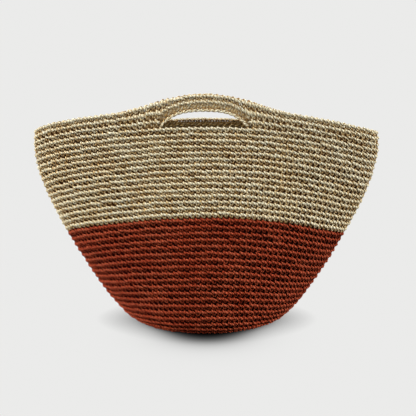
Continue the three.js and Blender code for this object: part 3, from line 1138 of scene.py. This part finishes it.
class HandbagYarn(bpy.types.PropertyGroup):
    """Sizes of the yarn and of the fabric's core"""

    yarn_diameter: FloatProperty(
        name="Yarn diameter",
        description="Thickness of the jute yarn",
        default=0.0029,
        **LENGTH,
    )
    ply_length: FloatProperty(
        name="Ply length",
        description="Distance along the yarn from one ply's crown to the next",
        default=0.0036,
        **LENGTH,
    )
    ply_depth: FloatProperty(
        name="Ply depth",
        description="How deep the groove between the plies is",
        default=0.001,
        **LENGTH,
    )
    core_depth: FloatProperty(
        name="Core depth",
        description="Depth under the surface at which the fabric lets no light through",
        default=0.0041,
        **LENGTH,
    )
    top_core_depth: FloatProperty(
        name="Top core depth",
        description="The same beside and over the hand slots",
        default=0.0023,
        **LENGTH,
    )
    unevenness: FloatProperty(
        name="Unevenness",
        description="How much the stitches differ from each other",
        default=1.3,
        **SHARE,
    )


def colour_property(name, default):
    """A colour of the yarn that a user can change."""
    return FloatVectorProperty(
        name=name,
        description=f"{name} of the yarn, as linear colour",
        default=default,
        size=3,
        subtype="COLOR",
    )


class HandbagColours(bpy.types.PropertyGroup):
    """Colours of the two yarns"""

    # colour of the painted shade deep in the gaps between the rust stitches
    rust_deep: colour_property("Rust in the gaps", (0.026, 0.0015, 0.0004))
    rust_dark: colour_property("Rust shade", (0.16, 0.012, 0.003))
    rust: colour_property("Rust", (0.262, 0.034, 0.011))
    rust_light: colour_property("Rust light", (0.37, 0.092, 0.044))
    # colour of the painted shade deep in the gaps between the natural stitches
    natural_deep: colour_property("Natural in the gaps", (0.11, 0.032, 0.004))
    natural_dark: colour_property("Natural shade", (0.42, 0.215, 0.05))
    natural: colour_property("Natural", (0.62, 0.56, 0.36))
    natural_light: colour_property("Natural light", (0.66, 0.66, 0.54))
    # painted shade of the core's outer side, as a share of the yarn's colours
    core_painted_shade: FloatProperty(
        name="Core shade",
        description="Brightness of the yarn packed inside the fabric, as a share",
        default=0.45,
        **SHARE,
    )


class HandbagStage(bpy.types.PropertyGroup):
    """The camera, the light and the floor"""

    camera_distance: FloatProperty(
        name="Camera distance",
        description="From the camera to the bag's middle",
        default=1.5,
        **LENGTH,
    )
    camera_elevation: FloatProperty(
        name="Camera elevation",
        description="Angle by which the camera looks down",
        default=np.radians(9.8),
        **ANGLE,
    )
    camera_target: FloatProperty(
        name="Camera target",
        description="Height that the camera looks at",
        default=0.145,
        **LENGTH,
    )
    camera_lens: FloatProperty(
        name="Camera lens",
        description="Focal length in millimetres on a 36 mm sensor",
        default=105.1,
        **LENS,
    )
    sky: FloatProperty(
        name="Sky light",
        description="Strength of the even light from all round",
        default=0.92,
    )
    # size and place of the painted soft shadow on the floor, and reach of the painted contact shade
    painted_shadow_width: FloatProperty(
        name="Shadow width",
        description="From the soft shadow's middle to where it is half as dark, sideways",
        default=0.056,
        **LENGTH,
    )
    painted_shadow_length: FloatProperty(
        name="Shadow length",
        description="The same towards the front",
        default=0.075,
        **LENGTH,
    )
    painted_shadow_ahead: FloatProperty(
        name="Shadow ahead",
        description="How far the shadow's middle is in front of the bag's",
        default=0.042,
        **LENGTH,
    )
    painted_contact_reach: FloatProperty(
        name="Contact reach",
        description="Distance from the bag within which it keeps light off the floor",
        default=0.035,
        **LENGTH,
    )
    floor_glow: FloatProperty(
        name="Floor glow",
        description="Brightness of the floor and the backdrop as the camera sees them",
        default=0.83,
    )
    floor_light: FloatProperty(
        name="Floor light",
        description="Strength of the light that the bag gets from the floor",
        default=0.55,
    )
    left_lamp: FloatProperty(
        name="Left lamp",
        description="Strength of the soft light from the left",
        default=6.1,
    )
    right_lamp: FloatProperty(
        name="Right lamp",
        description="Strength of the soft light from the right",
        default=5.4,
    )
    top_lamp: FloatProperty(
        name="Top lamp",
        description="Strength of the soft light from above",
        default=2.5,
    )
    softness: FloatProperty(
        name="Softness",
        description="How wide each lamp looks from the bag",
        default=np.radians(40),
        **ANGLE,
    )


GROUPS = {
    "handbag_yarn": HandbagYarn,
    "handbag_colours": HandbagColours,
    "handbag_stage": HandbagStage,
}


# Operators


class HANDBAG_OT_base(bpy.types.Operator):
    """Works the flat base and the rounds that turn it up into the wall"""

    bl_idname = "handbag.base"
    bl_label = "Base"

    def execute(self, context):
        whole_rounds("base_middle_stitches", 0, MIDDLE_LINE, "base_middle_rounds", RUST)
        whole_rounds("base_outer_stitches", MIDDLE_LINE, BASE_LINE, "base_outer_rounds", RUST)
        whole_rounds("base_turn_stitches", BASE_LINE, TURN_LINE, "base_turn_rounds", RUST)
        return {"FINISHED"}


class HANDBAG_OT_walls(bpy.types.Operator):
    """Works the rust wall and the natural wall up to the hand slots"""

    bl_idname = "handbag.walls"
    bl_label = "Walls"

    def execute(self, context):
        for name, low_line, high_line, node_name, yarn in (
            ("rust_lower_stitches", TURN_LINE, RUST_SPLIT, "rust_wall_lower", RUST),
            ("rust_upper_stitches", RUST_SPLIT, RUST_LINE, "rust_wall_upper", RUST),
            ("natural_lower_stitches", RUST_LINE, NATURAL_SPLIT, "natural_wall_lower", NATURAL),
            ("natural_upper_stitches", NATURAL_SPLIT, SLOT_LINE, "natural_wall_upper", NATURAL),
        ):
            whole_rounds(name, low_line, high_line, node_name, yarn)
        return {"FINISHED"}


class HANDBAG_OT_ends(bpy.types.Operator):
    """Works the rounds level with the slots at the bag's two ends"""

    bl_idname = "handbag.ends"
    bl_label = "Ends"

    def execute(self, context):
        for hand, way in HANDS:
            end_rounds(hand, way)
        return {"FINISHED"}


class HANDBAG_OT_handles(bpy.types.Operator):
    """Works both handles: the chain along each slot, the rounds over it and where they join"""

    bl_idname = "handbag.handles"
    bl_label = "Handles"

    def execute(self, context):
        settings = context.scene.handbag_yarn
        for word, side, core_top in (("front", FRONT, RIM_CORE), ("back", BACK, BACK_RIM_CORE)):
            handle = Handle(word, side, core_top, chain_rings(side, settings))
            handle_middle(handle)
            for hand, way in HANDS:
                handle_join(handle, hand, way)
        return {"FINISHED"}


class HANDBAG_OT_stage(bpy.types.Operator):
    """Sets the floor, the soft light and the camera"""

    bl_idname = "handbag.stage"
    bl_label = "Stage"

    def execute(self, context):
        scene = context.scene
        scene.view_settings.view_transform = "Standard"
        for step in (lay_floor, light_sky, hang_lamps, place_camera):
            step(scene, scene.handbag_stage)
        return {"FINISHED"}


STEPS = (
    HANDBAG_OT_base,
    HANDBAG_OT_walls,
    HANDBAG_OT_ends,
    HANDBAG_OT_handles,
    HANDBAG_OT_stage,
)


class HANDBAG_PT_panel(bpy.types.Panel):
    """Lists the steps and the settings of the handbag"""

    bl_idname = "HANDBAG_PT_panel"
    bl_label = "Crocheted handbag"
    bl_space_type = "VIEW_3D"
    bl_region_type = "UI"
    bl_category = "Handbag"

    def draw(self, context):
        for step in STEPS:
            self.layout.operator(step.bl_idname)
        for group in GROUPS:
            settings = getattr(context.scene, group)
            box = self.layout.box()
            for key in settings.__annotations__:
                box.prop(settings, key)


def register():
    """Adds the settings to the scene, and the operators and the panel to Blender."""
    for group in GROUPS.values():
        bpy.utils.register_class(group)
    for name, group in GROUPS.items():
        setattr(bpy.types.Scene, name, PointerProperty(type=group))
    for kind in (*STEPS, HANDBAG_PT_panel):
        bpy.utils.register_class(kind)


def unregister():
    """Takes away what register added, last first."""
    for kind in (HANDBAG_PT_panel, *reversed(STEPS)):
        bpy.utils.unregister_class(kind)
    for name in GROUPS:
        delattr(bpy.types.Scene, name)
    for group in reversed(GROUPS.values()):
        bpy.utils.unregister_class(group)


def main():
    """Makes the whole bag and its stage."""
    register()
    bpy.ops.handbag.base()
    bpy.ops.handbag.walls()
    bpy.ops.handbag.ends()
    bpy.ops.handbag.handles()
    bpy.ops.handbag.stage()


if __name__ == "__main__":
    main()
